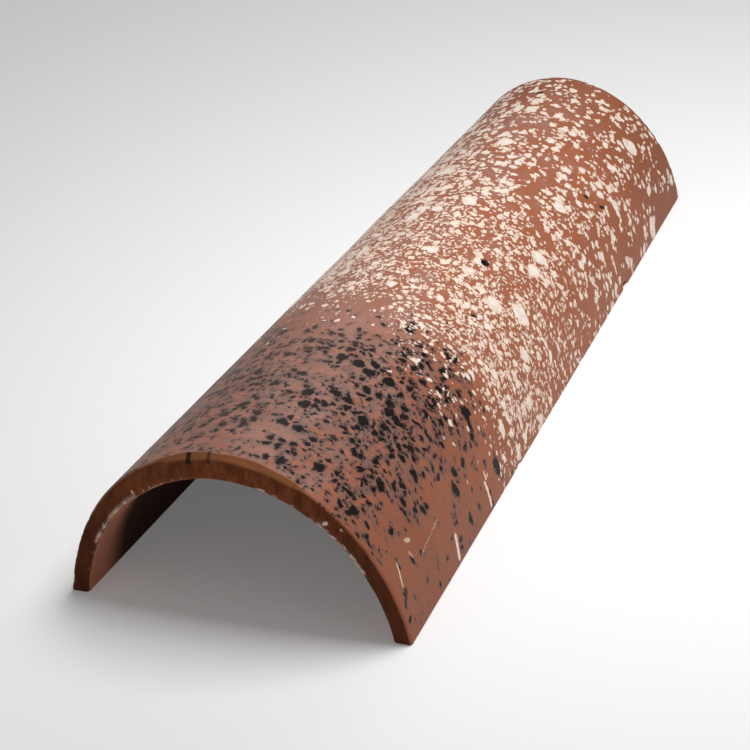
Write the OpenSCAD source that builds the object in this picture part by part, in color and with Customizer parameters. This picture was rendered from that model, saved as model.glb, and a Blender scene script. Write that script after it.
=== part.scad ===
// Tapered clay roof tile: one fired barrel, wide at the front and narrow at the back.
// Millimetres, +Z up, lying on its two legs with the crown up and the wide end towards -Y.

/* [Tile] */
// Length from end face to end face
tile_len = 400; // [250:5:500]
// Width over the legs at the wide end
wide_w = 150; // [130:1:220]
// Rise from the ground to the crown at the wide end
wide_h = 75; // [60:1:110]
// Width over the legs at the narrow end
narrow_w = 113; // [95:1:125]
// Rise from the ground to the crown at the narrow end
narrow_h = 60; // [45:1:75]

/* [Wall] */
// Wall thickness at the crown
crown_t = 12; // [8:0.5:16]
// Wall thickness at the leg bottoms
leg_t = 8; // [6:0.5:12]
// Lean of the legs away from upright at the wide end, in degrees
leg_lean = 10; // [4:1:16]

/* [Edges] */
// Rounding of the outer rim at both ends
rim_r = 1.5; // [0.5:0.5:4]
// Rounding of the inner rim at both ends
lip_r = 2; // [0.5:0.5:2.5]

/* [Nail hole] */
// Diameter of the hole
nail_d = 4; // [3:0.5:8]
// Distance of the hole from the wide end face
nail_from_wide = 207; // [60:1:220]
// Place of the hole round the section, from the crown, in degrees
nail_round = 28; // [0:1:45]

/* [Hidden] */
$fn = 96;
over = 5;
arc_steps = 5;
wide_sweep = 90 - leg_lean;
in_wide_w = wide_w - 2 * leg_t;
in_wide_h = wide_h - crown_t;
in_narrow_w = narrow_w - 2 * leg_t;
in_narrow_h = narrow_h - crown_t;

// Height over width of the section curve that meets the ground at the wide sweep
function section_ratio(w, h) = 2 * h / w / tan(wide_sweep / 2);

// Sweep from the crown to the ground of a section with this width, rise and ratio
function sweep_of(w, h, ratio) = 2 * atan(2 * h / (ratio * w));

// Half width of the section curve, measured at the height of its centre
function half_of(w, sweep) = w / 2 / sin(sweep);

outer_ratio = section_ratio(wide_w, wide_h);
outer_sweep = sweep_of(narrow_w, narrow_h, outer_ratio);
outer_wide = half_of(wide_w, wide_sweep);
outer_narrow = half_of(narrow_w, outer_sweep);
outer_z_wide = -outer_ratio * outer_wide * cos(wide_sweep);
outer_z_narrow = -outer_ratio * outer_narrow * cos(outer_sweep);

inner_ratio = section_ratio(in_wide_w, in_wide_h);
inner_sweep = sweep_of(in_narrow_w, in_narrow_h, inner_ratio);
inner_wide = half_of(in_wide_w, wide_sweep);
inner_narrow = half_of(in_narrow_w, inner_sweep);
inner_z_wide = -inner_ratio * inner_wide * cos(wide_sweep);
inner_z_narrow = -inner_ratio * inner_narrow * cos(inner_sweep);

nail_share = nail_from_wide / tile_len;
nail_half = outer_wide + (outer_narrow - outer_wide) * nail_share;
nail_x = nail_half * sin(nail_round);
nail_base = outer_z_wide + (outer_z_narrow - outer_z_wide) * nail_share;
nail_z = nail_base + outer_ratio * nail_half * cos(nail_round);
nail_lean = atan2(outer_ratio * sin(nail_round), cos(nail_round));

// Points along a rounded corner
function corner(cx, cy, r, from, to) = [
  for (i = [0 : arc_steps])
    let (a = from + (to - from) * i / arc_steps)
    [cx + r * cos(a), cy + r * sin(a)]
];

// Profile of the outer body: a tapered flank with both rims rounded over
module outer_profile() {
  taper = atan((outer_wide - outer_narrow) / tile_len);
  inset = rim_r / cos(taper);
  near_c = outer_wide - rim_r * tan(taper) - inset;
  far_c = outer_narrow + rim_r * tan(taper) - inset;
  polygon(concat(
    [[0, 0]],
    corner(near_c, rim_r, rim_r, -90, taper),
    corner(far_c, tile_len - rim_r, rim_r, taper, 90),
    [[0, tile_len]]
  ));
}

// Profile of the hollow: it flares at both ends so that the inner rims are rounded too
module inner_profile() {
  taper = atan((inner_wide - inner_narrow) / tile_len);
  inset = lip_r / cos(taper);
  near_c = inner_wide - lip_r * tan(taper) + inset;
  far_c = inner_narrow + lip_r * tan(taper) + inset;
  polygon(concat(
    [[0, -over], [near_c, -over]],
    corner(near_c, lip_r, lip_r, 270, 180 + taper),
    corner(far_c, tile_len - lip_r, lip_r, 180 + taper, 90),
    [[far_c, tile_len + over], [0, tile_len + over]]
  ));
}

// Turned body laid along Y, raised to the section height, its axis sloped to suit both ends
module laid(ratio, z_wide, z_narrow) {
  slope = (z_narrow - z_wide) / tile_len;
  multmatrix([
    [1, 0, 0, 0],
    [0, 1, 0, 0],
    [0, slope, ratio, z_wide],
    [0, 0, 0, 1]
  ])
    rotate([-90, 0, 0])
      rotate_extrude()
        children();
}

// Ground cut: everything below the leg bottoms
module below_ground() {
  depth = 2 * wide_h;
  translate([-wide_w, -over, -depth])
    cube([2 * wide_w, tile_len + 2 * over, depth]);
}

// Nail hole, square to the wall
module nail_hole() {
  reach = 2 * crown_t;
  translate([nail_x, nail_from_wide, nail_z])
    rotate([0, nail_lean, 0])
      translate([0, 0, -reach])
        cylinder(d = nail_d, h = 2 * reach, $fn = 32);
}

// Barrel: the outer body less the hollow, cut off at the ground
module barrel() {
  difference() {
    laid(outer_ratio, outer_z_wide, outer_z_narrow)
      outer_profile();
    laid(inner_ratio, inner_z_wide, inner_z_narrow)
      inner_profile();
    below_ground();
  }
}

// The tile, centred over the origin, with its nail hole bored last
module barrel_tile() {
  color([0.66, 0.37, 0.27])
    translate([0, -tile_len / 2, 0])
      difference() {
        barrel();
        nail_hole();
      }
}

barrel_tile();
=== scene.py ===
"""Clay roof tile: a terracotta barrel splashed with cream and black slip, seen from its wide end."""

import math

import bmesh
import bpy
from mathutils import Matrix, Vector, noise


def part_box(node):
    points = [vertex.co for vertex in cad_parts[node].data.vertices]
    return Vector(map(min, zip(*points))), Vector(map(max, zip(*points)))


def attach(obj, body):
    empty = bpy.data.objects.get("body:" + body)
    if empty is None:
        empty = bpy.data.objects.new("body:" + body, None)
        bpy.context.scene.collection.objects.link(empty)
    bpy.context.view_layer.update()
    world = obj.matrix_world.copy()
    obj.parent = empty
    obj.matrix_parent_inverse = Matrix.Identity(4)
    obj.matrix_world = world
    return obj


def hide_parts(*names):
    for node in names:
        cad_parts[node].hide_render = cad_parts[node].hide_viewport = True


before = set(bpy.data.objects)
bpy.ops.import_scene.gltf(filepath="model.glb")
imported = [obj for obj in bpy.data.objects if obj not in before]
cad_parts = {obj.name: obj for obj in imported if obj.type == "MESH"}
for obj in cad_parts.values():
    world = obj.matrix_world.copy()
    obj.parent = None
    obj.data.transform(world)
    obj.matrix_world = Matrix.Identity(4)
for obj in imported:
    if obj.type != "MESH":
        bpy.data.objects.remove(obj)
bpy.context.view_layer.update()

# Sizes, in millimetres as in the part's source
MM = 0.001
low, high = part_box("barrel_tile")
TILE_LEN = (high[1] - low[1]) / MM
HALF_LEN = TILE_LEN / 2
WIDE_W, WIDE_H = 150.0, 75.0
NARROW_W, NARROW_H = 113.0, 60.0
CROWN_T, LEG_T = 12.0, 8.0
LEG_LEAN = math.radians(10)
RIM_R, LIP_R, LEG_EDGE = 1.5, 2.0, 0.7
NAIL_R, NAIL_FROM_WIDE, NAIL_ROUND = 2.0, 207.0, math.radians(28)

# Turned blank that the arch is shaped from
BLANK_IN, BLANK_OUT = 60.0, 70.0
BLANK_SWEEP = math.pi / 2 - LEG_LEAN

# Mesh fineness: steps round the arch, along it, in a band behind each rim, and across an end face
ROUND_STEPS, LONG_STEPS, BAND_STEPS, FACE_STEPS = 220, 140, 5, 6
RIM_BAND = 6.0

# Steps over each rounded rim and leg edge, and the angle from which an edge looks sharp
RIM_STEPS, LEG_EDGE_STEPS, SHARP_FROM = 4, 2, math.radians(40)

# Patch opened for the nail hole: half length, half width, reach of the search, nearness to the face
PATCH_HALF_LEN, PATCH_HALF_W, PATCH_SEARCH, PATCH_NEAR = 2.2 * NAIL_R, 2.0 * NAIL_R, 6 * NAIL_R, 0.01
PROBE_STEP = 0.05

# Chipped mouth of the nail hole: half width, half length and depth, and the chip's own half sizes
MOUTH_HALF_W, MOUTH_HALF_LEN, MOUTH_DEPTH = 2.05, 2.3, 0.6
MOUTH_CHIP_W, MOUTH_CHIP_LEN = 2.0, 2.6

# Worn bevel on the crown of the wide end: its size, and its middle and reach round the arch
BEVEL, BEVEL_MIDDLE, BEVEL_REACH = 2.5, math.radians(3), math.radians(32)
BEVEL_UNEVEN, BEVEL_WAVE, BEVEL_FULL, BEVEL_BLUR = 0.3, 9, 0.45, 0.25

# Waves of the wall: length, height and shift
WAVES = ((55, 0.35, (0, 0, 0)), (17, 0.1, (9, 4, 2)))

# Wear fades out just above the ground, between these heights
GROUND_FADE = (0.5, 6.0)

# Bites out of the end rims: spread across the rim, reach from the end, depth, and damage to outer rims
BITE_SPREAD, BITE_REACH, BITE_DEPTH, OUTER_DAMAGE = (0.5, 3.0), 3.5, 1.6, 0.35

# Chipped stretches of the wide end's inner lip: middle and reach in degrees round the arch, and strength
CHIPPED_LIP = ((-47, 17, 1.0), (46, 15, 0.8), (16.5, 4, 0.8), (-25, 4, 0.6))
SOUND_LIP, NARROW_LIP = 0.1, 0.3

# Nicks in the right leg's bottom edge: place along the tile, half length and depth
LEG_NICKS = ((104.0, 3.5, 1.1), (-62.0, 2.5, 0.5), (31.0, 2.0, 0.4))
NICK_RISE = (1.0, 4.5)

# Length of the arch's curve over its half width and angle, and how far round the finishes are laid out
ARC_GROWTH, ARCH_SPAN = 1.1, 110.0

# Slip runs down the flanks from this far round the arch: how far it is drawn together, and its slant
RUN_START, RUN_DRAW, RUN_SLANT = 62.0, 0.85, 0.2

# Drops of each slip: cell of the scatter, part of the share, smallest and largest radius, and a shift
CREAM_DROPS = ((11.0, 0.44, 1.3, 4.8, 1.0), (5.2, 0.62, 0.7, 2.3, 2.0))
CREAM_SPRAY = ((3.3, 0.95, 0.55, 1.55, 3.0), (2.1, 0.95, 0.4, 1.0, 7.0))
BLACK_DROPS = ((8.0, 0.7, 1.0, 3.1, 4.0), (4.4, 0.85, 0.6, 2.1, 5.0), (2.5, 0.55, 0.3, 1.0, 6.0))

# Shares of each finish along the tile and round the arch: place in millimetres, and share
CREAM_ALONG = (
    (-200, 0.03), (-120, 0.04), (-95, 0.1), (-75, 0.22), (-58, 0.52), (-40, 0.88), (-18, 1.05),
    (25, 0.94), (60, 0.84), (100, 0.62), (130, 0.51), (175, 0.48), (200, 0.46))
CREAM_ROUND = (
    (-110, 0.9), (-50, 1.28), (-16, 1.15), (7, 0.88), (30, 0.9), (54, 0.98), (76, 0.76), (100, 0.58))
BLACK_ALONG = (
    (-200, 0.66), (-170, 0.68), (-125, 1.0), (-95, 0.95), (-70, 0.8), (-50, 0.25), (-30, 0.03), (20, 0.0))
BLACK_ROUND = (
    (-110, 0.75), (-17, 0.8), (8, 0.88), (30, 1.2), (56, 1.5), (74, 0.85), (88, 0.35), (105, 0.3))
# Smoke is a haze of the black slip, laid heavier on the left flank as painted sheen
SMOKE_AND_SHEEN_ALONG = ((-200, 0.55), (-135, 0.9), (-105, 0.65), (-82, 0.2), (-60, 0.04), (-30, 0.0))
SMOKE_AND_SHEEN_ROUND = ((-110, 1.0), (50, 0.8), (80, 0.25), (110, 0.1))
DUST_ALONG = ((-200, 0.1), (-110, 0.13), (-75, 0.2), (-35, 0.04), (0, 0.0))
# Painted shade low on the right flank, strongest towards both ends
FLANK_SHADE_ALONG = ((-200, 0.8), (-125, 0.8), (-75, 0.45), (-20, 0.15), (50, 0.25), (125, 0.55), (200, 0.75))

# Splashes where the cream slip is thicker, and bare corners where it is thinner: centre, reach and more
CREAM_SPLASHES = (((50, -38), 40, 0.35), ((86, -46), 34, 0.55), ((-18, 75), 45, 0.24),
                  ((-48, 140), 60, 0.12), ((102, 186), 28, -0.5))

# Marks on the unrolled face: centre, turn in degrees, half length, half width and strength
CREAM_MARKS = (
    ((103.0, -98.6), 0, 5.0, 0.9, 1.0),
    ((106.0, -139.0), -16, 4.5, 1.1, 1.0),
    ((85.2, -172.8), 65, 1.3, 0.8, 0.6),
    ((90.2, -175.4), 20, 1.2, 0.6, 0.45),
    ((91.9, -189.0), -25, 4.2, 0.5, 0.9),
    ((92.0, -157.0), -80, 11.0, 0.25, 0.35),
)
CREAM_RUNS = (
    ((66.0, 98.0), -52, 3.4, 0.9, 0.9),
    ((77.4, 88.6), -22, 3.2, 0.8, 0.9),
    ((75.3, 105.3), -35, 3.4, 1.0, 0.9),
    ((85.0, 97.0), -12, 2.6, 0.8, 0.9),
    ((77.3, 63.2), -47, 2.8, 0.8, 0.9),
)
BLACK_MARKS = (
    ((60.4, 113.2), 60, 1.2, 1.0, 1.0),
    ((51.4, 107.2), 40, 0.8, 0.9, 1.0),
    ((47.3, -31.7), 30, 0.9, 0.9, 1.0),
    ((-5.6, 178.2), 10, 1.0, 1.0, 1.0),
    ((100.4, -192.3), -47, 3.2, 1.0, 0.9),
)

# Marks on the wide end's rim and cut face, which carries on from the unrolled face: given the same way
RIM_DRIPS = (
    ((-15.0, -200.5), 90, 2.0, 1.2, 1.0),
    ((-5.1, -199.6), 90, 3.0, 0.9, 0.7),
    ((-15.6, -206.5), 90, 4.0, 0.3, 0.5),
)
RIM_CHIPS = (
    ((54.8, -205.3), 40, 0.5, 0.8, 1.0),
    ((62.0, -202.2), 0, 0.2, 0.5, 0.6),
    ((60.5, -207.4), 10, 1.2, 0.45, 0.9),
    ((65.3, -207.3), 0, 0.4, 0.4, 0.8),
    ((69.9, -207.4), 15, 0.7, 0.4, 0.8),
    ((78.9, -207.0), 5, 2.2, 0.4, 0.8),
    ((-51.2, -206.4), 60, 0.2, 0.6, 0.7),
)

# Colours of the clay on the outer face
BRIGHT_CLAY = (0.375, 0.118, 0.055, 1)
# Dusty tone in random patches, laid more on the left flank as a painted sheen
DUST_AND_SHEEN_CLAY = (0.35, 0.172, 0.13, 1)
# Darker clay: random mottling, and painted shade at the narrow end and low on the right flank
MOTTLE_AND_SHADE_CLAY = (0.27, 0.085, 0.04, 1)
GRAINY_CLAY = (0.24, 0.075, 0.035, 1)
SHADED_CLAY = (0.22, 0.065, 0.028, 1)

# Colours of the raw clay: a pair is for fine and coarse grain
INSIDE_CLAY = ((0.38, 0.142, 0.082, 1), (0.48, 0.20, 0.13, 1))
# Painted shade deep in the hollow, where the inner wall goes near black
NEAR_BLACK_SHADE_CLAY = ((0.028, 0.011, 0.006, 1), (0.05, 0.02, 0.011, 1))
# The cut ends' dark clay is partly painted shade
CUT_CLAY = ((0.12, 0.029, 0.008, 1), (0.25, 0.07, 0.023, 1))
WORN_CLAY = ((0.22, 0.075, 0.028, 1), (0.32, 0.12, 0.05, 1))
LOW_CUT_CLAY = (0.065, 0.017, 0.008, 1)
GRAINY_CUT_CLAY = (0.08, 0.02, 0.007, 1)
CHIPPED_CLAY = (0.80, 0.60, 0.51, 1)
# Painted shade inside the nail hole's bore
HOLE_SHADE_CLAY = (0.045, 0.043, 0.042, 1)

# Colours of the slips
# Smoke grey is partly a haze of the black slip, partly painted sheen on the left flank
SMOKE_AND_SHEEN_GREY = (0.150, 0.115, 0.106, 1)
HAZE_GREY = (0.105, 0.08, 0.077, 1)
BLACK_SLIP = (0.005, 0.005, 0.006, 1)
SPECK_BLACK = (0.012, 0.011, 0.011, 1)
THIN_CREAM = (0.84, 0.655, 0.535, 1)
THICK_CREAM = (0.80, 0.715, 0.645, 1)

# Floor: half size in metres, colour, roughness and glow
FLOOR_HALF, FLOOR_COLOUR, FLOOR_ROUGH, FLOOR_GLOW = 6, (0.86, 0.86, 0.86, 1), 0.9, 0.12
WHITE = (1, 1, 1, 1)

# Studio light: strength all round, and the softboxes with place, aim, size and power
ROOM_LIGHT = 0.17
SOFTBOXES = (
    ("overhead", (0.17, 0.02, 0.56), (0.01, 0.02, 0.05), (0.4, 0.35), 3.3),
    ("side_fill", (1.25, -0.5, 0.34), (0, 0, 0.03), (0.6, 0.5), 1.2),
    ("backdrop", (-0.4, 1.6, 1.1), (-0.2, 0.9, 0), (1.6, 0.8), 4.5),
)

# Camera: place, its right and up directions, and its lens and sensor in millimetres
CAMERA_SPOT = Vector((485.5, -1077.6, 660.0)) * MM
CAMERA_RIGHT = Vector((0.91984, 0.38304, -0.08469))
CAMERA_UP = Vector((-0.11911, 0.47840, 0.87003))
CAMERA_LENS, CAMERA_SENSOR = 144.27, 36.0


def mix(a, b, share):
    return a + (b - a) * share


def ease(low_end, high_end, value):
    share = min(1.0, max(0.0, (value - low_end) / (high_end - low_end)))
    return share * share * (3 - 2 * share)


class Skin:
    """Inner or outer face of the wall: a tapered arch that meets the ground at both legs."""

    def __init__(self, wide_w, wide_h, narrow_w, narrow_h):
        self.ratio = 2 * wide_h / wide_w / math.tan(BLANK_SWEEP / 2)
        self.ends = []
        for width, rise in ((wide_w, wide_h), (narrow_w, narrow_h)):
            sweep = 2 * math.atan(2 * rise / (self.ratio * width))
            half = width / 2 / math.sin(sweep)
            self.ends.append((half, -self.ratio * half * math.cos(sweep)))

    def section(self, y):
        """Half width and centre height of the arch at this place along the tile."""
        share = y / TILE_LEN + 0.5
        (half_a, mid_a), (half_b, mid_b) = self.ends
        return mix(half_a, half_b, share), mix(mid_a, mid_b, share)

    def point(self, y, around):
        """Point on the arch, where around runs from -1 at the left leg to 1 at the right."""
        half, mid = self.section(y)
        angle = around * math.acos(-mid / (self.ratio * half))
        return Vector((half * math.sin(angle), y, mid + self.ratio * half * math.cos(angle)))

    def angle(self, co):
        half, mid = self.section(co.y)
        return math.atan2(co.x, (co.z - mid) / self.ratio)

    def reach(self, co):
        """1 on the face, less inside it."""
        half, mid = self.section(co.y)
        return math.hypot(co.x, (co.z - mid) / self.ratio) / half

    def off(self, co):
        """Distance outwards from the face, measured as across its half width."""
        return (self.reach(co) - 1) * self.section(co.y)[0]


OUTER = Skin(WIDE_W, WIDE_H, NARROW_W, NARROW_H)
INNER = Skin(WIDE_W - 2 * LEG_T, WIDE_H - CROWN_T, NARROW_W - 2 * LEG_T, NARROW_H - CROWN_T)


def turned_blank():
    """Wall profile with rounded rims, spun round the tile's length and closed at both legs."""
    bm = bmesh.new()
    end, band = HALF_LEN, HALF_LEN - RIM_BAND
    outline = [(-end, BLANK_OUT), (-band, BLANK_OUT), (band, BLANK_OUT), (end, BLANK_OUT),
               (end, BLANK_IN), (band, BLANK_IN), (-band, BLANK_IN), (-end, BLANK_IN)]
    verts = [bm.verts.new((0, y, radius)) for y, radius in outline]
    bm.faces.new(verts)
    for corners, size in (((verts[0], verts[3]), RIM_R), ((verts[4], verts[7]), LIP_R)):
        bmesh.ops.bevel(bm, geom=corners, offset=size, offset_type="OFFSET", segments=RIM_STEPS,
                        profile=0.5, affect="VERTICES", material=-1)
    bmesh.ops.delete(bm, geom=bm.faces[:], context="FACES_ONLY")
    for edge in bm.edges[:]:
        length = edge.calc_length()
        lengthwise = abs(edge.verts[0].co.z - edge.verts[1].co.z) < RIM_R / 10
        if length > HALF_LEN:
            bmesh.ops.subdivide_edges(bm, edges=[edge], cuts=LONG_STEPS - 1)
        elif length > RIM_R:
            bmesh.ops.subdivide_edges(bm, edges=[edge], cuts=(BAND_STEPS if lengthwise else FACE_STEPS) - 1)
    bmesh.ops.rotate(bm, verts=bm.verts[:], matrix=Matrix.Rotation(-BLANK_SWEEP, 3, "Y"))
    bmesh.ops.spin(bm, geom=bm.verts[:] + bm.edges[:], axis=(0, 1, 0), angle=2 * BLANK_SWEEP,
                   steps=ROUND_STEPS, use_merge=False, use_duplicate=False)
    open_edges = [e for e in bm.edges if e.is_boundary]
    caps = bmesh.ops.holes_fill(bm, edges=open_edges, sides=0)["faces"]
    cap_edges = list({e for face in caps for e in face.edges})
    bmesh.ops.bevel(bm, geom=cap_edges, offset=LEG_EDGE, offset_type="OFFSET", segments=LEG_EDGE_STEPS,
                    profile=0.5, affect="EDGES", material=-1)
    bmesh.ops.recalc_face_normals(bm, faces=bm.faces[:])
    return bm


def shape_arch(bm):
    """Moves the blank's wall on to the tapered arch."""
    for vert in bm.verts:
        around = math.atan2(vert.co.x, vert.co.z) / BLANK_SWEEP
        depth = (math.hypot(vert.co.x, vert.co.z) - BLANK_IN) / (BLANK_OUT - BLANK_IN)
        inside = INNER.point(vert.co.y, around)
        outside = OUTER.point(vert.co.y, around)
        vert.co = inside.lerp(outside, depth)


def nail_place():
    """Mouth of the nail hole on the outer face, and its direction square to the wall."""
    y = NAIL_FROM_WIDE - HALF_LEN
    half, mid = OUTER.section(y)
    mouth = Vector((half * math.sin(NAIL_ROUND), y, mid + OUTER.ratio * half * math.cos(NAIL_ROUND)))
    way = Vector((OUTER.ratio * math.sin(NAIL_ROUND), 0, math.cos(NAIL_ROUND))).normalized()
    return mouth, way


def in_patch(skin, face, centre):
    """Whether a face of the mesh lies in the patch that the nail hole opens."""
    middle = face.calc_center_median()
    if abs(middle.y - centre.y) >= PATCH_HALF_LEN or (middle - centre).length >= PATCH_SEARCH:
        return False
    round_arch = abs(skin.angle(middle) - skin.angle(centre)) * skin.section(centre.y)[0]
    return abs(skin.reach(middle) - 1) < PATCH_NEAR and round_arch < PATCH_HALF_W


def bore_nail_hole(bm):
    """Opens a patch in each face of the wall, sets rings in them and joins the rings through the wall."""
    bored = bm.verts.layers.float.new("bored")
    mouth, way = nail_place()
    turn = way.to_track_quat("Z", "Y").to_matrix().to_4x4()
    loops = []
    for skin in (OUTER, INNER):
        centre = mouth.copy()
        while skin.reach(centre) > 1:
            centre -= way * PROBE_STEP
        patch = [f for f in bm.faces if in_patch(skin, f, centre)]
        rim = [e for e in {e for f in patch for e in f.edges}
               if sum(f in patch for f in e.link_faces) == 1]
        bmesh.ops.delete(bm, geom=patch, context="FACES")
        rim = [e for e in rim if e.is_valid]
        rings = [(centre, NAIL_R, NAIL_R)]
        if skin is OUTER:
            rings = [(centre, MOUTH_HALF_W, MOUTH_HALF_LEN), (centre - way * MOUTH_DEPTH, NAIL_R, NAIL_R)]
        for middle, half_w, half_len in rings:
            place = Matrix.Translation(middle) @ turn @ Matrix.Diagonal((half_len, half_w, 1, 1))
            ring = bmesh.ops.create_circle(bm, cap_ends=False, radius=1, segments=len(rim),
                                           matrix=place)["verts"]
            for vert in ring:
                vert[bored] = 0.0 if middle is centre else 1.0
            ring_edges = list({e for v in ring for e in v.link_edges})
            bmesh.ops.bridge_loops(bm, edges=rim + ring_edges)
            rim = ring_edges
        loops.append(rim)
    bmesh.ops.bridge_loops(bm, edges=loops[0] + loops[1])


def rub_crown(bm):
    """Rubs a flat bevel on the outer rim of the wide end, widest at the crown, and notes where."""
    rubbed = bm.verts.layers.float.new("rubbed")
    for vert in bm.verts:
        back = vert.co.y + HALF_LEN
        if back > 2 * BEVEL:
            continue
        below = -OUTER.off(vert.co) * OUTER.ratio
        aside = abs(OUTER.angle(vert.co) - BEVEL_MIDDLE) / BEVEL_REACH
        uneven = 1 + BEVEL_UNEVEN * noise.noise(vert.co / BEVEL_WAVE)
        size = BEVEL * uneven * (1 - ease(BEVEL_FULL, 1.0, aside))
        cut = size - back - below
        vert[rubbed] = ease(-BEVEL_BLUR, BEVEL_BLUR, cut)
        if cut > 0:
            vert.co += Vector((0, cut / 2, -cut / 2))


def lip_damage(co):
    """How chipped the inner lip is here: the wide end has its own broken stretches."""
    if co.y > 0:
        return NARROW_LIP
    turn = math.degrees(INNER.angle(co))
    return max([SOUND_LIP] + [power * (1 - ease(0.6, 1.0, abs(turn - middle) / reach))
                              for middle, reach, power in CHIPPED_LIP])


def nick_depth(co):
    """Depth of the nicks along the bottom edge of the right leg."""
    if co.x < 0 or OUTER.reach(co) < 0.97:
        return 0.0
    deepest = max(deep * (1 - ease(0.3, 1.0, abs(co.y - place) / half)) for place, half, deep in LEG_NICKS)
    return deepest * (1 - ease(*NICK_RISE, co.z))


def rim_bite(co, end):
    """Depth of the bites out of the end rims, where end is the distance from the nearer end."""
    lip = 1 - ease(*BITE_SPREAD, abs(INNER.off(co)))
    edge = 1 - ease(*BITE_SPREAD, abs(OUTER.off(co)))
    damage = max(lip * lip_damage(co), OUTER_DAMAGE * edge)
    ragged = noise.noise(co / 2.2 + Vector((3, 7, 1))) + 0.7 * noise.noise(co / 9) + 0.25
    return BITE_DEPTH * max(0.0, ragged - 0.3) * (1 - ease(0.0, BITE_REACH, end)) * damage


def lip_chip(co, end):
    """1 along the broken line of the inner lip, where the chips show pale."""
    line = 1 - ease(0.35, 0.9, abs(INNER.off(co) - 0.6 * LIP_R))
    broken = 0.9 * noise.noise(co / 3.5) + 0.8 * noise.noise(co / 1.4)
    return line * (1 - ease(0.2, 1.2, end)) * ease(0.45, 0.95, lip_damage(co) + broken)


def mouth_chip(co, mouth, way):
    """1 on the lower side of the nail hole's mouth, where the chip shows pale."""
    away = co - mouth
    round_mouth = abs(math.hypot(away.x / MOUTH_CHIP_W, away.y / MOUTH_CHIP_LEN) - 1) * 4
    lower_side = ease(0.3, 1.2, -away.y / MOUTH_HALF_LEN) * ease(-NAIL_R, 0.0, away.dot(way))
    return (1 - ease(0.2, 1.2, round_mouth)) * lower_side


def wear(bm):
    """Gentle waves over the whole wall, bites out of the end rims and nicks in the right leg's edge."""
    bm.normal_update()
    chips = bm.verts.layers.float.new("chip")
    mouth, way = nail_place()
    for vert in bm.verts:
        co = vert.co
        end = HALF_LEN - abs(co.y)
        ground = ease(*GROUND_FADE, co.z)
        slow = sum(height * noise.noise(co / length + Vector(shift)) for length, height, shift in WAVES)
        vert[chips] = max(lip_chip(co, end) * ground, mouth_chip(co, mouth, way))
        vert.co = co + vert.normal * (slow - rim_bite(co, end)) * ground
        vert.co.x -= nick_depth(vert.co)


def note_places(bm):
    """Keeps two places for each point, in millimetres, with its depth below the outer face.

    The first is on the unrolled face. The second is drawn together down the flanks, where the wet slip ran,
    so that a round drop laid out on it becomes a long run.
    """
    unrolled = bm.verts.layers.float_vector.new("unrolled")
    thrown = bm.verts.layers.float_vector.new("thrown")
    for vert in bm.verts:
        across = OUTER.angle(vert.co) * OUTER.section(vert.co.y)[0] * ARC_GROWTH
        depth = OUTER.off(vert.co)
        run = max(0.0, abs(across) - RUN_START)
        held = math.copysign(min(abs(across), RUN_START) + run * RUN_DRAW, across)
        vert[unrolled] = (across, vert.co.y, depth)
        vert[thrown] = (held, vert.co.y + run * RUN_SLANT, depth)


def build_tile():
    bm = turned_blank()
    shape_arch(bm)
    bore_nail_hole(bm)
    rub_crown(bm)
    wear(bm)
    note_places(bm)
    bmesh.ops.scale(bm, vec=(MM, MM, MM), verts=bm.verts[:])
    bmesh.ops.recalc_face_normals(bm, faces=bm.faces[:])
    mesh = bpy.data.meshes.new("splashed_tile")
    bm.to_mesh(mesh)
    bm.free()
    mesh.shade_smooth()
    mesh.set_sharp_from_angle(angle=SHARP_FROM)
    tile = bpy.data.objects.new("splashed_tile", mesh)
    bpy.context.scene.collection.objects.link(tile)
    return tile


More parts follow.
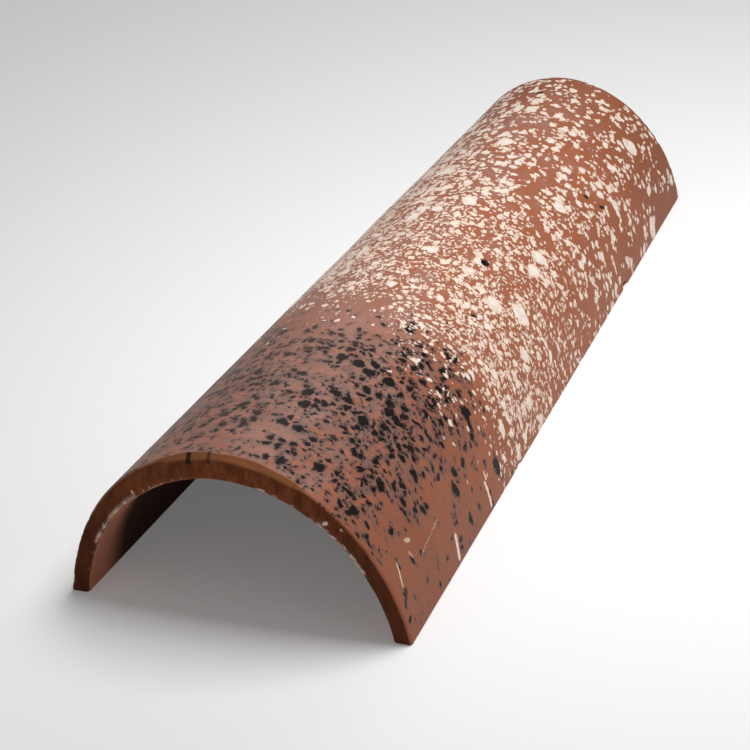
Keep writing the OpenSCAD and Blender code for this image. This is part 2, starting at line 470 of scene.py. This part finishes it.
class Paints:
    """Short names for building one node tree."""

    def __init__(self, tree):
        self.tree = tree

    def node(self, kind, **settings):
        made = self.tree.nodes.new(kind)
        for name, value in settings.items():
            setattr(made, name, value)
        return made

    def put(self, value, socket):
        if isinstance(value, bpy.types.NodeSocket):
            self.tree.links.new(value, socket)
        elif value is not None:
            socket.default_value = value

    def noted(self, name, output="Fac"):
        """A value kept on the mesh's points."""
        return self.node("ShaderNodeAttribute", attribute_name=name).outputs[output]

    def math(self, operation, a, b=None, clamp=False):
        made = self.node("ShaderNodeMath", operation=operation, use_clamp=clamp)
        self.put(a, made.inputs[0])
        self.put(b, made.inputs[1])
        return made.outputs[0]

    def total(self, operation, values):
        result = values[0]
        for value in values[1:]:
            result = self.math(operation, result, value)
        return result

    def vector(self, operation, a, b=None, scale=None):
        made = self.node("ShaderNodeVectorMath", operation=operation)
        self.put(a, made.inputs[0])
        self.put(b, made.inputs[1])
        if scale is not None:
            self.put(scale, made.inputs["Scale"])
        return made.outputs["Value" if operation == "LENGTH" else "Vector"]

    def pushed(self, place, offset, millimetres):
        return self.vector("ADD", place, self.vector("SCALE", offset, scale=millimetres))

    def ramp(self, value, from_low, from_high, to_low=0.0, to_high=1.0, smooth=True):
        made = self.node("ShaderNodeMapRange", clamp=True)
        made.interpolation_type = "SMOOTHSTEP" if smooth else "LINEAR"
        for socket, given in zip(made.inputs, (value, from_low, from_high, to_low, to_high)):
            self.put(given, socket)
        return made.outputs[0]

    def blend(self, share, a, b):
        made = self.node("ShaderNodeMix", data_type="RGBA")
        self.put(share, made.inputs[0])
        self.put(a, made.inputs[6])
        self.put(b, made.inputs[7])
        return made.outputs[2]

    def clouds(self, place, size_mm, detail, rough, shift=0.0, output="Fac"):
        made = self.node("ShaderNodeTexNoise", noise_dimensions="4D")
        self.put(place, made.inputs["Vector"])
        made.inputs["W"].default_value = shift
        made.inputs["Scale"].default_value = 1.0 / size_mm
        made.inputs["Detail"].default_value = detail
        made.inputs["Roughness"].default_value = rough
        return made.outputs[output]

    def stray(self, place, size_mm, detail, rough, shift=0.0):
        """Clouds as an offset, up to half a millimetre each way."""
        cloud = self.clouds(place, size_mm, detail, rough, shift, output="Color")
        return self.vector("SUBTRACT", cloud, (0.5, 0.5, 0.5))

    def share_at(self, value, low_end, high_end, stops):
        """A share that follows a measure of the tile: stops are (millimetres, share)."""
        made = self.node("ShaderNodeValToRGB")
        ramp = made.color_ramp
        ramp.interpolation = "EASE"
        while len(ramp.elements) < len(stops):
            ramp.elements.new(0.5)
        for element, (place, share) in zip(ramp.elements, stops):
            element.position = (place - low_end) / (high_end - low_end)
            element.color = (share, share, share, 1)
        self.put(self.ramp(value, low_end, high_end, smooth=False), made.inputs[0])
        return made.outputs[0]


class TilePaints(Paints):
    """The tile's node tree, with the measures of the tile that its finishes follow."""

    def __init__(self, tree):
        super().__init__(tree)
        self.spot = self.noted("unrolled", "Vector")
        self.thrown = self.noted("thrown", "Vector")
        self.solid = self.vector("SCALE", self.node("ShaderNodeTexCoord").outputs["Object"], scale=1 / MM)
        parts = self.node("ShaderNodeSeparateXYZ")
        self.put(self.spot, parts.inputs[0])
        self.across, self.along, self.depth = parts.outputs
        self.from_end = self.math("SUBTRACT", HALF_LEN, self.math("ABSOLUTE", self.along))
        self.bare_band = self.ramp(self.from_end, 1.5, 4.5, 0.25, 1.0)
        self.grain = self.clouds(self.solid, 0.9, 3.0, 0.6, 2.0)
        self.stir = self.stray(self.thrown, 1.6, 2.0, 0.6)
        self.stirred_spot = self.pushed(self.spot, self.stir, 2.0)

        # The border between the two slips slants and wavers, and the drops of both lie in crowds
        waver = self.math("SUBTRACT", self.clouds(self.spot, 30.0, 3.0, 0.6, 1.0), 0.5)
        slant = self.ramp(self.across, -60.0, 60.0, -12.0, 14.0, smooth=False)
        self.border = self.total("ADD", [self.along, slant, self.math("MULTIPLY", waver, 60.0)])
        self.crowd = self.ramp(self.clouds(self.spot, 14.0, 3.0, 0.6, 2.0), 0.3, 0.7, 0.45, 1.5)

        # The outer face carries slip, apart from where it is rubbed off
        self.rubbed = self.noted("rubbed")
        unrubbed = self.math("SUBTRACT", 1.0, self.rubbed)
        self.skin = self.math("MULTIPLY", self.ramp(self.depth, -1.1, -0.5), unrubbed)

    def along_tile(self, value, stops):
        return self.share_at(value, -HALF_LEN, HALF_LEN, stops)

    def round_arch(self, stops):
        return self.share_at(self.across, -ARCH_SPAN, ARCH_SPAN, stops)


def droplets(paints, place, cell_mm, share, smallest, largest, shift):
    """Thrown drops of slip: one in each cell of a scatter, kept where share asks for it.

    Gives millimetres inside the nearest drop's edge, less than 0 outside it.
    """
    moved = paints.vector("ADD", place, (shift * 37.0, shift * 91.0, 0.0))
    cells = paints.node("ShaderNodeTexVoronoi", voronoi_dimensions="2D", feature="F1")
    paints.put(moved, cells.inputs["Vector"])
    cells.inputs["Scale"].default_value = 1.0 / cell_mm
    cells.inputs["Randomness"].default_value = 1.0
    lots = paints.node("ShaderNodeSeparateColor")
    paints.put(cells.outputs["Color"], lots.inputs[0])
    left_out = paints.ramp(paints.math("SUBTRACT", share, lots.outputs[0]), 0.0, 0.1, 2 * largest, 0.0)
    squared = paints.math("MULTIPLY", lots.outputs[1], lots.outputs[1])
    radius = paints.ramp(squared, 0.0, 1.0, smallest, largest, smooth=False)
    away = paints.math("MULTIPLY", cells.outputs["Distance"], cell_mm)
    return paints.total("SUBTRACT", [radius, away, left_out])


def thrown_slip(paints, place, ragged, share, sizes):
    """Drops of several sizes run together, each size with its cell, part of the share, radii and shift."""
    drops = paints.total("MAXIMUM", [
        droplets(paints, place, cell, paints.math("MULTIPLY", share, part), small, large, shift)
        for cell, part, small, large, shift in sizes])
    return paints.math("ADD", drops, ragged)


def splash(paints, centre, reach):
    """1 at the middle of a splash, falling to 0 at its reach."""
    offset = paints.vector("SUBTRACT", paints.spot, (*centre, 0.0))
    flat = paints.vector("MULTIPLY", offset, (1.0, 1.0, 0.0))
    return paints.ramp(paints.vector("LENGTH", flat), 0.0, reach, 1.0, 0.0)


def stroke(paints, place, centre, turn, half_length, half_width, strength):
    """A mark with round ends on the unrolled face; turn is in degrees from the way round the arch."""
    laid = paints.node("ShaderNodeMapping", vector_type="TEXTURE")
    paints.put(place, laid.inputs["Vector"])
    laid.inputs["Location"].default_value = (*centre, 0.0)
    laid.inputs["Rotation"].default_value = (0.0, 0.0, math.radians(turn))
    parts = paints.node("ShaderNodeSeparateXYZ")
    paints.put(laid.outputs[0], parts.inputs[0])
    past = paints.math("SUBTRACT", paints.math("ABSOLUTE", parts.outputs[0]), half_length)
    past = paints.math("MAXIMUM", past, 0.0)
    far = paints.math("SQRT", paints.math("ADD", paints.math("MULTIPLY", past, past),
                                          paints.math("MULTIPLY", parts.outputs[1], parts.outputs[1])))
    return paints.ramp(far, half_width * 0.6, half_width * 1.3, strength, 0.0)


def strokes(paints, place, marks):
    return paints.total("MAXIMUM", [stroke(paints, place, *mark) for mark in marks])


def cream_share(paints):
    """Cream slip is thrown over the back and middle of the tile, thickest in a few splashes."""
    share = paints.total("MULTIPLY", [paints.along_tile(paints.border, CREAM_ALONG),
                                      paints.round_arch(CREAM_ROUND), paints.crowd])
    for centre, reach, more in CREAM_SPLASHES:
        near = splash(paints, centre, reach)
        share = paints.math("ADD", share, paints.math("MULTIPLY", near, more))
    return paints.math("MULTIPLY", share, paints.bare_band)


def black_share(paints):
    """Black slip is thrown over the front, mostly to the right of the crown."""
    later = paints.math("ADD", paints.border, paints.ramp(paints.across, 0.0, 45.0, 24.0, 0.0))
    return paints.total("MULTIPLY", [paints.along_tile(later, BLACK_ALONG), paints.round_arch(BLACK_ROUND),
                                     paints.crowd, paints.bare_band])


def slip_edges(paints):
    """Millimetres inside the edges of the cream and the black drops."""
    # Drops lie on a place that is pushed about a little, so that none is a true circle
    drift = paints.stray(paints.thrown, 9.0, 1.0, 0.5, 3.0)
    place = paints.pushed(paints.pushed(paints.thrown, paints.stir, 3.0), drift, 6.0)
    burst = paints.stray(paints.thrown, 3.4, 2.0, 0.6, 5.0)
    burst_place = paints.pushed(place, burst, 3.5)
    ragged = paints.math("SUBTRACT", paints.clouds(paints.thrown, 0.9, 2.0, 0.6, 11.0), 0.5)

    # Cream drops are fuller on the left, finer near the border and bolder towards the narrow end
    fuller = paints.ramp(paints.across, -50.0, -8.0, 0.22, 0.0)
    finer = paints.ramp(paints.border, -85.0, -25.0, -0.35, 0.0)
    finer = paints.math("MULTIPLY", finer, paints.ramp(paints.across, 20.0, 55.0, 1.0, 0.0))
    bolder = paints.ramp(paints.along, 10.0, 110.0, 0.0, 0.4)
    growth = paints.total("ADD", [fuller, finer, bolder])
    jagged = paints.math("ADD", paints.math("MULTIPLY", ragged, 1.5), growth)

    # Towards the narrow end there are more large drops and less spray
    share = cream_share(paints)
    large = paints.math("MULTIPLY", share, paints.ramp(paints.along, 0.0, 80.0, 1.0, 1.8))
    spray = paints.math("MULTIPLY", share, paints.ramp(paints.along, 0.0, 80.0, 1.0, 0.55))
    cream_edge = paints.math("MAXIMUM", thrown_slip(paints, place, jagged, large, CREAM_DROPS),
                             thrown_slip(paints, place, jagged, spray, CREAM_SPRAY))
    black_edge = thrown_slip(paints, burst_place, ragged, black_share(paints), BLACK_DROPS)
    return cream_edge, black_edge


def fired_clay(paints):
    """Bare fired face: warm orange, dustier in patches and paler towards the left as painted sheen, darker
    low on the right and at the back as painted shade.
    """
    patches = paints.clouds(paints.solid, 11.0, 4.0, 0.6)
    # Painted sheen: the clay turns paler and greyer towards the left flank
    left_sheen = paints.ramp(paints.across, -70.0, 70.0, 0.18, -0.15, smooth=False)
    front = paints.math("MULTIPLY", paints.along_tile(paints.along, DUST_ALONG),
                        paints.ramp(paints.across, 15.0, 60.0, 1.0, 0.0))
    dust_and_sheen = paints.ramp(paints.total("ADD", [patches, left_sheen, front]), 0.38, 0.64)
    clay = paints.blend(dust_and_sheen, BRIGHT_CLAY, DUST_AND_SHEEN_CLAY)
    deep = paints.ramp(paints.clouds(paints.solid, 30.0, 3.0, 0.5, 4.0), 0.35, 0.7, 0.0, 0.35)
    # Painted shade: darker towards the narrow end, and low on the right flank towards both ends
    deep = paints.math("ADD", deep, paints.ramp(paints.along, 130.0, 200.0, 0.0, 0.65))
    painted_flank_shade = paints.math("MULTIPLY", paints.along_tile(paints.along, FLANK_SHADE_ALONG),
                            paints.ramp(paints.across, 35.0, 95.0))
    deep = paints.math("ADD", deep, painted_flank_shade, clamp=True)
    clay = paints.blend(deep, clay, MOTTLE_AND_SHADE_CLAY)
    return paints.blend(paints.ramp(paints.grain, 0.35, 0.75, 0.0, 0.35), clay, GRAINY_CLAY)


def outer_face(paints, cream_edge, black_edge, cream, black):
    """Colour of the outer face: clay, then smoke with painted sheen on the left, then black slip with its
    haze, and cream slip on top.
    """
    # Smoke over the front: haze of the black slip, with painted sheen where it lies heavier on the left
    smoke_and_sheen = paints.total("MULTIPLY", [
        paints.ramp(paints.clouds(paints.spot, 7.0, 4.0, 0.65, 6.0), 0.38, 0.68),
        paints.along_tile(paints.border, SMOKE_AND_SHEEN_ALONG), paints.round_arch(SMOKE_AND_SHEEN_ROUND), paints.bare_band])
    colour = paints.blend(smoke_and_sheen, fired_clay(paints), SMOKE_AND_SHEEN_GREY)
    colour = paints.blend(paints.ramp(cream_edge, -0.9, -0.2, 0.0, 0.35), colour, SHADED_CLAY)
    haze = paints.ramp(black_edge, -2.4, 0.2)
    colour = paints.blend(paints.math("MULTIPLY", haze, 0.6), colour, HAZE_GREY)
    # Painted sheen: the black slip is blended in less on the left, so it shows grey there
    black_kept_under_sheen = paints.ramp(paints.across, -20.0, 30.0, 0.68, 0.96)
    colour = paints.blend(paints.math("MULTIPLY", black, black_kept_under_sheen), colour, BLACK_SLIP)
    milky = paints.ramp(paints.clouds(paints.thrown, 3.0, 2.0, 0.5, 8.0), 0.3, 0.6, 0.76, 1.0)
    cream_colour = paints.blend(paints.ramp(cream_edge, 0.5, 1.8), THIN_CREAM, THICK_CREAM)
    colour = paints.blend(paints.math("MULTIPLY", cream, milky), colour, cream_colour)
    return paints.blend(strokes(paints, paints.stirred_spot, BLACK_MARKS), colour, SPECK_BLACK)


def raw_clay(paints):
    """Colour where there is no slip: inside, on the cut ends and on the rubbed crown."""
    inside = paints.blend(paints.grain, *INSIDE_CLAY)
    painted_hollow_shade = paints.blend(paints.grain, *NEAR_BLACK_SHADE_CLAY)
    # Painted shade: the inner wall goes near black from 10 to 31 mm in from either end
    inside = paints.blend(paints.ramp(paints.from_end, 10.0, 31.0), inside, painted_hollow_shade)
    drawn = paints.vector("MULTIPLY", paints.solid, (1.0, 0.3, 0.35))
    drag = paints.clouds(drawn, 3.2, 3.0, 0.6, 9.0)
    # Cut ends: dark clay, partly painted shade, darker still towards the legs
    cut_end = paints.blend(paints.ramp(drag, 0.3, 0.7), *CUT_CLAY)
    low_end = paints.ramp(paints.math("ABSOLUTE", paints.across), 30.0, 95.0, 0.0, 0.75)
    cut_end = paints.blend(low_end, cut_end, LOW_CUT_CLAY)
    cut_end = paints.blend(paints.ramp(paints.grain, 0.4, 0.7, 0.0, 0.4), cut_end, GRAINY_CUT_CLAY)
    at_end = paints.ramp(paints.math("ABSOLUTE", paints.along), HALF_LEN - 1.4, HALF_LEN - 0.6)
    raw = paints.blend(at_end, inside, cut_end)
    return paints.blend(paints.rubbed, raw, paints.blend(paints.grain, *WORN_CLAY))


def rim_marks(paints, colour):
    """Drips that ran over the rim of the wide end, and the chips: the cut face carries on from the outer."""
    folded = paints.node("ShaderNodeCombineXYZ")
    paints.put(paints.across, folded.inputs[0])
    paints.put(paints.math("ADD", paints.along, paints.depth), folded.inputs[1])
    folded = paints.pushed(folded.outputs[0], paints.stir, 1.2)
    at_rim = paints.ramp(paints.along, 4.0 - HALF_LEN, 5.0 - HALF_LEN, 0.9, 0.0)
    drips = paints.math("MULTIPLY", strokes(paints, folded, RIM_DRIPS), at_rim)
    colour = paints.blend(drips, colour, SPECK_BLACK)
    at_face = paints.ramp(paints.along, 0.4 - HALF_LEN, 1.4 - HALF_LEN, 1.0, 0.0)
    flakes = paints.math("MULTIPLY", strokes(paints, folded, RIM_CHIPS), at_face)
    patchy = paints.ramp(paints.clouds(paints.solid, 4.0, 2.0, 0.6, 12.0), 0.4, 0.62, 0.4, 0.95)
    broken = paints.math("MULTIPLY", paints.noted("chip"), patchy)
    return paints.blend(paints.math("MAXIMUM", broken, flakes), colour, CHIPPED_CLAY)


def relief(paints, cream, black):
    """Bump of the clay's grain, coarser where it is raw, and of the slip that stands on it."""
    coarse = paints.ramp(paints.skin, 0.0, 1.0, 0.22, 0.06)
    height = paints.total("ADD", [paints.math("MULTIPLY", paints.grain, coarse),
                                  paints.math("MULTIPLY", cream, 0.12), paints.math("MULTIPLY", black, 0.1)])
    bump = paints.node("ShaderNodeBump")
    bump.inputs["Strength"].default_value = 0.8
    bump.inputs["Distance"].default_value = MM
    paints.put(height, bump.inputs["Height"])
    return bump.outputs[0]


def splashed_clay():
    """Fired terracotta with cream slip thrown over the back and black slip over the front."""
    material = bpy.data.materials.new("splashed_clay")
    material.use_nodes = True
    tree = material.node_tree
    tree.nodes.clear()
    paints = TilePaints(tree)
    shader = paints.node("ShaderNodeBsdfPrincipled")
    output = paints.node("ShaderNodeOutputMaterial")
    tree.links.new(shader.outputs[0], output.inputs[0])

    cream_edge, black_edge = slip_edges(paints)
    black = paints.ramp(black_edge, -0.6, 0.55)
    cream = paints.math("MAXIMUM", paints.ramp(cream_edge, -0.3, 0.38),
                        strokes(paints, paints.stirred_spot, CREAM_MARKS + CREAM_RUNS))
    outside = outer_face(paints, cream_edge, black_edge, cream, black)
    colour = paints.blend(paints.skin, raw_clay(paints), outside)
    # Painted shade inside the nail hole's bore
    colour = paints.blend(paints.ramp(paints.noted("bored"), 0.1, 0.9, 0.0, 0.9), colour, HOLE_SHADE_CLAY)
    paints.put(rim_marks(paints, colour), shader.inputs["Base Color"])

    rough = paints.ramp(paints.grain, 0.2, 0.8, 0.44, 0.6)
    rough = paints.ramp(black, 0.0, 1.0, rough, 0.38)
    rough = paints.ramp(paints.skin, 0.0, 1.0, 0.95, rough)
    paints.put(rough, shader.inputs["Roughness"])
    paints.put(paints.ramp(black, 0.0, 1.0, 0.16, 0.05), shader.inputs["Specular IOR Level"])
    paints.put(relief(paints, cream, black), shader.inputs["Normal"])
    return material


def pale_floor():
    bm = bmesh.new()
    bmesh.ops.create_grid(bm, x_segments=1, y_segments=1, size=FLOOR_HALF)
    mesh = bpy.data.meshes.new("floor")
    bm.to_mesh(mesh)
    bm.free()
    floor = bpy.data.objects.new("floor", mesh)
    bpy.context.scene.collection.objects.link(floor)
    paper = bpy.data.materials.new("pale_paper")
    paper.use_nodes = True
    shader = paper.node_tree.nodes["Principled BSDF"]
    shader.inputs["Base Color"].default_value = FLOOR_COLOUR
    shader.inputs["Roughness"].default_value = FLOOR_ROUGH
    shader.inputs["Emission Color"].default_value = WHITE
    shader.inputs["Emission Strength"].default_value = FLOOR_GLOW
    mesh.materials.append(paper)


def softbox(name, place, aim, size, power):
    light = bpy.data.lights.new(name, "AREA")
    light.shape = "RECTANGLE"
    light.size, light.size_y = size
    light.energy = power
    lamp = bpy.data.objects.new(name, light)
    lamp.location = place
    lamp.rotation_euler = (Vector(aim) - Vector(place)).to_track_quat("-Z", "Y").to_euler()
    bpy.context.scene.collection.objects.link(lamp)


def studio():
    world = bpy.data.worlds.new("studio")
    world.use_nodes = True
    world.node_tree.nodes["Background"].inputs[0].default_value = WHITE
    world.node_tree.nodes["Background"].inputs[1].default_value = ROOM_LIGHT
    bpy.context.scene.world = world
    bpy.context.scene.view_settings.view_transform = "Standard"
    for box in SOFTBOXES:
        softbox(*box)


def photo_camera():
    """Camera at the photograph's place: long lens, a little rolled, above the wide end and to its right."""
    back = CAMERA_RIGHT.cross(CAMERA_UP)
    data = bpy.data.cameras.new("photo_camera")
    data.sensor_fit = "HORIZONTAL"
    data.sensor_width = CAMERA_SENSOR
    data.lens = CAMERA_LENS
    camera = bpy.data.objects.new("photo_camera", data)
    columns = [axis.to_4d() for axis in (CAMERA_RIGHT, CAMERA_UP, back, CAMERA_SPOT)]
    for axis in columns[:3]:
        axis.w = 0.0
    camera.matrix_world = Matrix(columns).transposed()
    bpy.context.scene.collection.objects.link(camera)
    bpy.context.scene.camera = camera


tile = build_tile()
tile.data.materials.append(splashed_clay())
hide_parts("barrel_tile")
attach(tile, "root")
pale_floor()
studio()
photo_camera()
